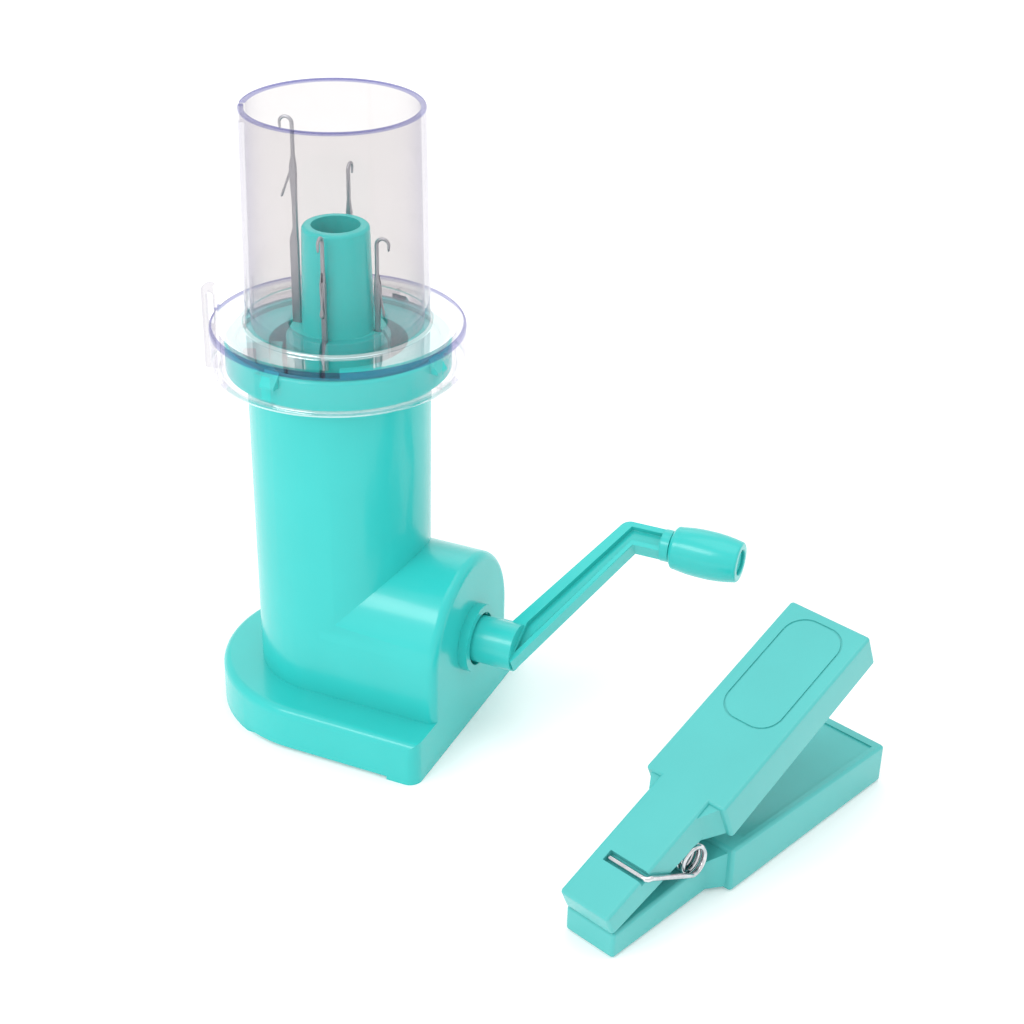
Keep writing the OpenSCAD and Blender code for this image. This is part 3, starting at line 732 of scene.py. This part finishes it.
class MillKnob(PropertyGroup):
    """Sizes of the crank's knob."""

    widest: FloatProperty(
        name="Radius", description="Radius of the knob at its widest", unit="LENGTH",
        default=6.4 * MM)
    belly: FloatProperty(
        name="Belly", description="How much thinner the knob is half its length from its widest",
        unit="LENGTH", default=0.75 * MM)
    neck: FloatProperty(
        name="Neck radius", description="Radius of the knob's inner end", unit="LENGTH",
        default=4.7 * MM)
    bore: FloatProperty(
        name="Bore", description="Radius of the hole for the pin", unit="LENGTH", default=2.35 * MM)
    recess: FloatProperty(
        name="Recess", description="Radius of the recess in the end", unit="LENGTH",
        default=3.4 * MM)


class MillClip(PropertyGroup):
    """Sizes of the cord clip and its spring."""

    fulcrum: FloatProperty(
        name="Fulcrum", description="Distance from the jaw's tip to the coil", unit="LENGTH",
        default=28 * MM)
    coil_radius: FloatProperty(
        name="Coil radius", description="Radius of the spring's coil at the wire's middle",
        unit="LENGTH", default=3.5 * MM)
    wire: FloatProperty(
        name="Wire", description="Diameter of the spring's wire", unit="LENGTH", default=1.3 * MM)
    nose: FloatProperty(
        name="Nose width", description="Width of the clip's nose", unit="LENGTH", default=14.6 * MM)
    turns: IntProperty(name="Turns", description="Whole turns of the coil", min=3, max=9, default=9)
    opening: FloatProperty(
        name="Opening", description="Angle between the levers at rest", subtype="ANGLE",
        default=math.radians(23))


class MillStage(PropertyGroup):
    """Camera and light."""

    camera_place: FloatVectorProperty(
        name="Camera", description="Where the camera stands", subtype="XYZ", unit="LENGTH", size=3,
        default=(0.20667, -0.37107, 0.29267))
    camera_aim: FloatVectorProperty(
        name="Aim", description="The point that the camera looks at", subtype="XYZ", unit="LENGTH",
        size=3, default=(0.04794, 0.0, 0.06637))
    camera_roll: FloatProperty(
        name="Roll", description="Tilt of the camera about its view", subtype="ANGLE",
        default=math.radians(1.37))
    lens: FloatProperty(
        name="Lens", description="Focal length in millimetres", subtype="DISTANCE_CAMERA",
        default=65.19)
    sky: FloatProperty(
        name="Sky", description="Strength of the white surroundings", min=0, default=1.0)


SETTINGS = {
    "mill_finish": MillFinish, "mill_cover": MillCover, "mill_needles": MillNeedles,
    "mill_knob": MillKnob, "mill_clip": MillClip, "mill_stage": MillStage,
}


# ---- operators --------------------------------------------------------------


class MILL_OT_finishes(Operator):
    """Make the node groups and the materials"""

    bl_idname = "mill.finishes"
    bl_label = "Finishes"

    def execute(self, context):
        moulded_skin()
        parting_line()
        edge_band()
        drawn_metal()
        knob = knob_frame()
        middle = (KNOB_LOW.x + KNOB_HIGH.x) / 2
        side = knob.col[1].to_3d()
        mint, clip = tuple(context.scene.mill_finish.mint), tuple(context.scene.mill_finish.clip)
        mint_material("mint_gloss", mint)
        mint_material("mint_core", mint, [((0.94, 0.34, 0), 0)])
        mint_material("mint_knob", mint,
                      [((1, 0, 0), middle), (tuple(side), side.dot(knob.translation))])
        mint_material("mint_clip", clip)
        nylon_material()
        metal_material("plain_steel", (0.56, 0.56, 0.58), (0.40, 0.40, 0.42), 2200.0, 0.30, 0.18)
        metal_material("needle_steel", (0.27, 0.265, 0.30), (0.14, 0.135, 0.155), 2600.0, 0.34,
                       0.24)
        metal_material("bright_wire", (0.70, 0.70, 0.72), (0.52, 0.52, 0.55), 2600.0, 0.12, 0.08)
        clear_material()
        return {"FINISHED"}


class MILL_OT_housing(Operator):
    """Build the housing shell and finish the bottom cover and its screws"""

    bl_idname = "mill.housing"
    bl_label = "Housing"

    def execute(self, context):
        moulding("housing", "housing_shell", "mint_gloss", "base", 0.35)
        moulding("bottom_cover", "bottom_plate", "mint_gloss", "base", 0.25)
        coat_node("cover_screws", material_named("plain_steel"))
        return {"FINISHED"}


class MILL_OT_cover(Operator):
    """Build the clear tube, flange, skirt and yarn eye"""

    bl_idname = "mill.cover"
    bl_label = "Clear cover"

    def execute(self, context):
        sizes = context.scene.mill_cover
        top, flange = COVER_HIGH.z, sizes.flange_top / MM
        outer, foot, wall = sizes.tube_top / MM, sizes.tube_low / MM, sizes.wall / MM
        rim, low = sizes.skirt_radius / MM, sizes.skirt_low / MM
        plate, skirt_wall, opening = 1.4, 2.5, 12.2
        lip_inner, lip_outer, lip_depth = 26.1, 27.7, 2.6
        under, inner = flange - plate, rim - skirt_wall
        outline = filleted([
            (opening, under, 0.3), (opening, flange, 0.5), (foot - wall, flange, 0.5),
            (outer - wall, top, 0.5), (outer, top, 0.5), (foot, flange, 0.9), (rim, flange, 1.1),
            (rim, low, 0.5), (inner, low, 0.5), (inner, under, 0.4), (lip_outer, under, 0.3),
            (lip_outer, under - lip_depth, 0.4), (lip_inner, under - lip_depth, 0.4),
            (lip_inner, under, 0.3)])
        cover = made_object("clear_guard", lathed(outline, 160))
        half, window_low, window_high, first = 2.3, low + 1.2, low + 8.8, math.radians(264)
        cutters = [turned(block((inner - 1, -half, window_low), (rim + 1, half, window_high)),
                          first + quarter * TURN / 4) for quarter in range(4)]
        notch_half, notch_depth, notch_turn = 1.2, 4.5, math.radians(203)
        notch = block((outer - 3, -notch_half, top - notch_depth), (outer + 3, notch_half, top + 2))
        carved(cover, cutters + [turned(notch, notch_turn)])
        carved(cover, [self.yarn_eye(rim, low - 5, flange + 6.4)], "UNION")
        cover.modifiers.new("normals", "WEIGHTED_NORMAL").keep_sharp = True
        settle(cover, material_named("clear_styrene"), "clear_plastic", "base", "clear_cover")
        return {"FINISHED"}

    @staticmethod
    def yarn_eye(rim, low, high):
        """Upright plate with a long eye, standing on the skirt."""
        half, bar, eye_drop, stand_turn = 2.2, 1.3, 10.4, math.radians(192)
        outside = [(-half, low)] + arc((0, high - half), half, math.pi, 0, 24) + [(half, low)]
        eye = half - bar
        slot = (arc((0, high - half - 1), eye, 0, math.pi, 16)
                + arc((0, high - eye_drop), eye, math.pi, TURN, 16))
        plate = made_object("plate", extruded(outside, -1, 1))
        carved(plate, [extruded(slot, -2, 2)])
        edge_rounded(plate, 0.35, 2)
        baked(plate)
        bm = bmesh.new()
        bm.from_mesh(plate.data)
        bpy.data.objects.remove(plate)
        stand = (Matrix.Rotation(stand_turn, 4, "Z")
                 @ Matrix.Translation((rim + half - 0.9, 0, 0))
                 @ Matrix.Rotation(math.pi / 2, 4, "X") @ Matrix.Scale(1 / MM, 4))
        return moved(bm, stand)


class MILL_OT_cylinder(Operator):
    """Build the needle cylinder and the deck round it"""

    bl_idname = "mill.cylinder"
    bl_label = "Needle cylinder"

    def execute(self, context):
        moulding("needle_cylinder", "centre_tube", "mint_core", "cylinder", 0.25)
        moulding("cam_ring", "deck_ring", "mint_gloss", "base", 0.25)
        return {"FINISHED"}


class MILL_OT_mechanism(Operator):
    """Finish the gears, cams, shaft and clips inside the housing"""

    bl_idname = "mill.mechanism"
    bl_label = "Mechanism"

    def execute(self, context):
        for node in ("shaft_bush", "crown_gear", "drive_pinion"):
            coat_node(node, material_named("natural_nylon"))
        for node in ("lift_cam", "stitch_cam"):
            coat_node(node, material_named("mint_gloss"))
        for node in ("thrust_washer", "cylinder_circlip", "crank_shaft", "shaft_circlip"):
            coat_node(node, material_named("plain_steel"))
        return {"FINISHED"}


class MILL_OT_needles(Operator):
    """Build the four latch needles and their latches"""

    bl_idname = "mill.needles"
    bl_label = "Needles"

    def execute(self, context):
        steel = material_named("needle_steel")
        slot_half, slot_low, slot_high = 0.26, -21.4, -9.6
        for number in NEEDLES:
            place = needle_frame(number)
            needle = made_object(f"latch_needle_{number}", self.needle(context), place)
            slot = block((-0.3, -slot_half, slot_low), (4, slot_half, slot_high))
            carved(needle, [moved(slot, place)])
            settle(needle, steel, "needle_steel", f"needle_{number}", f"needle_{number}")
            latch = made_object(f"needle_latch_{number}", self.latch(context), self.hung(number))
            settle(latch, steel, "needle_steel", f"latch_{number}", f"latch_{number}")
            rivet = made_object(f"needle_rivet_{number}", self.rivet(context), place)
            settle(rivet, steel, "needle_steel", f"needle_{number}", f"latch_rivet_{number}")
        return {"FINISHED"}

    @staticmethod
    def needle(context):
        """Stamped needle in its own frame: foot, butt, shank, stem and hook."""
        sizes = context.scene.mill_needles
        hook, wire, shank = sizes.hook_radius / MM, sizes.wire_radius / MM, sizes.shank / MM
        turn = -hook - wire
        stations = [
            (-shank, 1.4, 1.9, 0.6, 6), (-shank + 0.3, 1.4, 2.15, 0.65, 8),
            (-shank + 3.7, 1.4, 2.15, 0.65, 8),
            (-shank + 4, 0.4, 1.15, 0.65, 8), (-shank + 6, 0.4, 1.1, 0.65, 8),
            (-31.5, 0.4, 1.1, 0.65, 8), (-30.5, 0.35, 1.02, 0.65, 7),
            (-28.5, 0.05, 0.68, 0.65, 6), (-27.5, 0, 0.6, 0.62, 6),
            (-21, 0, 0.6, 0.62, 6), (-18, 0.05, 0.72, 0.66, 6), (-15, 0.1, 0.88, 0.68, 6),
            (-12.5, 0.12, 0.86, 0.68, 5), (-10.5, 0, 0.56, 0.58, 4), (-9.5, 0, wire, wire, 2.4),
            (-6, 0, wire, wire, 2), (turn, 0, wire, wire, 2)]
        bends, thinning = 12, 0.28
        for k in range(1, bends + 1):
            angle = math.pi * k / bends
            size = wire * (1 - thinning * k / bends)
            stations.append((turn + hook * math.sin(angle), hook * (1 - math.cos(angle)),
                             size, size, 2))
        for drop, size in ((0.5, 0.34), (1.0, 0.3), (1.3, 0.22), (1.5, 0.1)):
            stations.append((turn - drop, 2 * hook - 0.08 * drop, size, size, 2))
        return swept_blade(stations, lambda z, x: Vector((x, 0, z)), Vector((0, 1, 0)))

    @staticmethod
    def latch(context):
        """Latch that points down from its rivet, with a spoon at its tip."""
        length = context.scene.mill_needles.latch / MM
        stations = [
            (0.62, 0, 0.12, 0.12, 3), (0.5, 0, 0.4, 0.2, 4), (0, 0, 0.6, 0.2, 4),
            (-0.5, 0, 0.5, 0.2, 4), (-1.2, 0, 0.28, 0.2, 4), (-length + 2.6, 0.02, 0.26, 0.22, 4),
            (-length + 1.7, 0.05, 0.3, 0.42, 3), (-length + 0.9, 0.05, 0.3, 0.56, 3),
            (-length + 0.3, 0.04, 0.22, 0.44, 3),
            (-length, 0.02, 0.08, 0.12, 2)]
        return swept_blade(stations, lambda z, x: Vector((x, 0, z)), Vector((0, 1, 0)))

    @staticmethod
    def rivet(context):
        """Pin through the needle's cheeks, with two domed ends."""
        sizes = context.scene.mill_needles
        middle = Vector((sizes.pivot_out / MM, 0, -sizes.pivot_drop / MM))
        return swept_wire([middle + Vector((0, y, 0)) for y in (-0.62, -0.3, 0.3, 0.62)], 0.24)

    @staticmethod
    def hung(number):
        """Frame of a latch at its rivet, turned as far as the CAD latch hangs."""
        place = needle_frame(number)
        swing = JOINTS[f"latch_swing_{number}"]
        closing = bpy.context.scene.mill_needles.closing
        angle = math.pi - closing - math.radians(swing["range_deg"][1])
        turned = place @ Matrix.Rotation(-angle, 4, "Y")
        turned.translation = Vector(swing["pos_m"]) / MM
        return turned


class MILL_OT_crank(Operator):
    """Build the crank arm"""

    bl_idname = "mill.crank"
    bl_label = "Crank arm"

    def execute(self, context):
        arm = refined_copy("crank_arm", "crank_lever")
        self.round_elbow(arm)
        edge_rounded(arm, 0.5)
        settle(arm, material_named("mint_gloss"), "mint_plastic", "crank", "crank_arm")
        return {"FINISHED"}

    @staticmethod
    def round_elbow(arm):
        """Rounds the outer corner between the arm and the stub that carries the knob."""
        outward, thickness = (knob_frame().col[k].to_3d() for k in (0, 1))
        least_length, least_turn, near = 3 * MM, 30, 0.3 * MM
        bm = bmesh.new()
        bm.from_mesh(arm.data)
        edges = [e for e in bm.edges
                 if abs((e.verts[0].co - e.verts[1].co).normalized().dot(thickness)) > 0.99
                 and e.calc_length() > least_length and len(e.link_faces) == 2
                 and math.degrees(e.calc_face_angle(0)) > least_turn]
        far = max(e.verts[0].co.dot(outward) for e in edges)
        outer = [e for e in edges if far - e.verts[0].co.dot(outward) < near]
        corner = min(outer, key=lambda e: e.verts[0].co.x)
        bmesh.ops.bevel(bm, geom=[corner], offset=1.8 * MM, segments=5, profile=0.5,
                        affect="EDGES", clamp_overlap=True)
        bm.to_mesh(arm.data)
        bm.free()


class MILL_OT_knob(Operator):
    """Build the turning knob"""

    bl_idname = "mill.knob"
    bl_label = "Knob"

    def execute(self, context):
        sizes = context.scene.mill_knob
        widest, belly, neck = sizes.widest / MM, sizes.belly / MM, sizes.neck / MM
        bore, recess = sizes.bore / MM, sizes.recess / MM
        length = KNOB_HIGH.x - KNOB_LOW.x
        steps = 26
        side = []
        for k in range(steps + 1):
            share = k / steps
            radius = widest - belly * abs((share - 0.45) / 0.5) ** 2.2
            side.append((radius, 1.7 + (length - 2.4) * share))
        start, end = side[0][0], side[-1][0]
        inner = [(neck, 0), (neck + 0.25, 0.12)] + arc((start - 0.9, 1.2), 0.9, -math.pi / 3, 0, 5)
        shoulder = arc((end - 0.7, length - 0.7), 0.7, math.radians(10), math.pi / 2, 6)
        outline = ([(bore, 0.2), (bore + 0.2, 0)] + inner + side + shoulder
                   + [(recess + 0.25, length), (recess, length - 0.25), (recess, length - 1.8),
                      (bore + 0.1, length - 1.8), (bore, length - 1.9)])
        knob = made_object("turning_knob", lathed(outline, 96), knob_frame())
        settle(knob, material_named("mint_knob"), "mint_plastic", "knob", "crank_knob")
        return {"FINISHED"}


class MILL_OT_clip(Operator):
    """Build the cord clip's levers and its spring"""

    bl_idname = "mill.clip"
    bl_label = "Cord clip"

    def execute(self, context):
        for side in ("lower", "upper"):
            moulding(f"clip_{side}_lever", f"{side}_lever", "mint_clip", f"clip_{side}", 0.3, 34)
        self.spring(context)
        return {"FINISHED"}

    @staticmethod
    def spring(context):
        """Coil between the levers, and a leg that goes with each lever."""
        sizes = context.scene.mill_clip
        wire, radius = sizes.wire / MM, sizes.coil_radius / MM
        fulcrum, height = sizes.fulcrum / MM, pivot("clip_squeeze").z
        slack, leg, sink, reach, dip = 0.1, 13.3, 0.9, 3.2, math.radians(-118)
        side = sizes.nose / MM / 2 + wire / 2 + slack
        centre = Vector((fulcrum, 0, height))
        steps = sizes.turns * 32
        coil = []
        for k in range(steps + 1):
            share = k / steps
            angle = dip + (sizes.turns * TURN - 2 * dip) * share
            coil.append(centre + Vector((radius * math.cos(angle), side * (2 * share - 1),
                                         radius * math.sin(angle))))
        lower = [Vector(point) for point in (
            (leg, -reach, sink), (leg, side - 2.2, sink), (leg + 0.1, side - 1, sink),
            (leg + 0.5, side - 0.3, sink + 0.15), (leg + 1.3, side, sink + 0.5))]
        flip = (Matrix.Translation(centre) @ Matrix.Rotation(-sizes.opening, 4, "Y")
                @ Matrix.Scale(-1, 4, (0, 0, 1)) @ Matrix.Scale(-1, 4, (0, 1, 0))
                @ Matrix.Translation(-centre))
        upper = [flip @ point for point in lower]
        place = clip_frame()
        steel = material_named("bright_wire")
        for name, path, body in (("spring_lower_leg", lower + [coil[-1]], "clip_lower"),
                                 ("spring_upper_leg", upper + [coil[0]], "clip_upper")):
            piece = made_object(name, swept_wire(eased(path), wire / 2), place)
            settle(piece, steel, "spring_steel", body)
        piece = made_object("spring_coil", swept_wire(coil, wire / 2), place)
        settle(piece, steel, "spring_steel", None, "clip_spring")
        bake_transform(piece)


class MILL_OT_stage(Operator):
    """Set up the floor, the soft light and the camera"""

    bl_idname = "mill.stage"
    bl_label = "Stage"

    def execute(self, context):
        self.floor()
        self.lights(context)
        self.camera(context)
        context.scene.view_settings.view_transform = "Standard"
        return {"FINISHED"}

    @staticmethod
    def floor():
        """Pale floor with a faint unevenness."""
        bm = bmesh.new()
        bmesh.ops.create_grid(bm, x_segments=24, y_segments=24, size=3000)
        floor = made_object("floor", bm, Matrix.Translation((0, 0, -0.05)))
        material, tree, shader = new_material("pale_floor")
        use_group(tree, shader, "Moulded Skin",
                  {"Colour": (0.93, 0.93, 0.93, 1), "Deep Colour": (0.92, 0.92, 0.92, 1),
                   "Grain": 300.0, "Roughness": 0.75, "Spread": 0.05}, 0.02, 0.05)
        shader.inputs["Specular IOR Level"].default_value = 0.2
        shader.inputs["Emission Color"].default_value = (1, 1, 1, 1)
        shader.inputs["Emission Strength"].default_value = 0.14
        floor.data.materials.append(material)

    @staticmethod
    def lights(context):
        """White surroundings, a broad overhead softbox and weaker panels round it."""
        world = bpy.data.worlds.new("soft_room")
        world.use_nodes = True
        sky = world.node_tree.nodes["Background"]
        sky.inputs["Color"].default_value = (1, 1, 1, 1)
        sky.inputs["Strength"].default_value = context.scene.mill_stage.sky
        context.scene.world = world
        aim = Vector((0.03, 0, 0.06))
        for name, way, distance, width, height, power in (
                ("overhead_box", (-0.30, -0.68, 0.68), 0.9, 0.5, 0.26, 2.2),
                ("front_panel", (-0.35, -0.85, 0.35), 1.3, 0.6, 0.7, 0.5),
                ("top_panel", (0.05, 0.05, 1.0), 1.2, 0.9, 0.9, 2.4),
                ("back_panel", (-0.5, 0.9, 0.7), 1.6, 0.9, 0.6, 1.0)):
            lamp = bpy.data.lights.new(name, "AREA")
            lamp.shape = "RECTANGLE"
            lamp.size, lamp.size_y, lamp.energy = width, height, power
            obj = bpy.data.objects.new(name, lamp)
            towards = Vector(way).normalized()
            obj.location = aim + towards * distance
            obj.rotation_mode = "QUATERNION"
            obj.rotation_quaternion = towards.to_track_quat("Z", "Y")
            context.scene.collection.objects.link(obj)

    @staticmethod
    def camera(context):
        """Camera at the angle from which the mill is shown."""
        settings = context.scene.mill_stage
        place, aim = Vector(settings.camera_place), Vector(settings.camera_aim)
        back = (place - aim).normalized()
        right = Vector((0, 0, 1)).cross(back).normalized()
        turned = Matrix.Rotation(settings.camera_roll, 3, back)
        right = turned @ right
        up = back.cross(right)
        data = bpy.data.cameras.new("camera")
        data.lens = settings.lens
        data.sensor_width = 36
        data.clip_start, data.clip_end = 0.01, 20
        obj = bpy.data.objects.new("camera", data)
        obj.matrix_world = Matrix((right, up, back)).transposed().to_4x4()
        obj.location = place
        context.scene.collection.objects.link(obj)
        context.scene.camera = obj


OPERATORS = (
    MILL_OT_finishes, MILL_OT_housing, MILL_OT_cylinder, MILL_OT_mechanism, MILL_OT_needles,
    MILL_OT_cover, MILL_OT_crank, MILL_OT_knob, MILL_OT_clip, MILL_OT_stage,
)


class MILL_PT_panel(Panel):
    """Sidebar panel with the settings and the operators"""

    bl_idname = "MILL_PT_panel"
    bl_label = "Knitting Mill"
    bl_space_type = "VIEW_3D"
    bl_region_type = "UI"
    bl_category = "Knitting Mill"

    def draw(self, context):
        for name, kind in SETTINGS.items():
            column = self.layout.box().column(align=True)
            column.label(text=kind.__doc__)
            for key in kind.__annotations__:
                column.prop(getattr(context.scene, name), key)
        for operator in OPERATORS:
            self.layout.operator(operator.bl_idname)


CLASSES = (*SETTINGS.values(), *OPERATORS, MILL_PT_panel)


def register():
    """Adds the classes and the scene's settings."""
    for kind in CLASSES:
        bpy.utils.register_class(kind)
    for name, kind in SETTINGS.items():
        setattr(Scene, name, PointerProperty(type=kind))


def unregister():
    """Takes the settings and the classes away again."""
    for name in SETTINGS:
        delattr(Scene, name)
    for kind in reversed(CLASSES):
        bpy.utils.unregister_class(kind)


def main():
    """Builds every piece in order."""
    register()
    for operator in OPERATORS:
        family, action = operator.bl_idname.split(".")
        getattr(getattr(bpy.ops, family), action)()


if __name__ == "__main__":
    main()
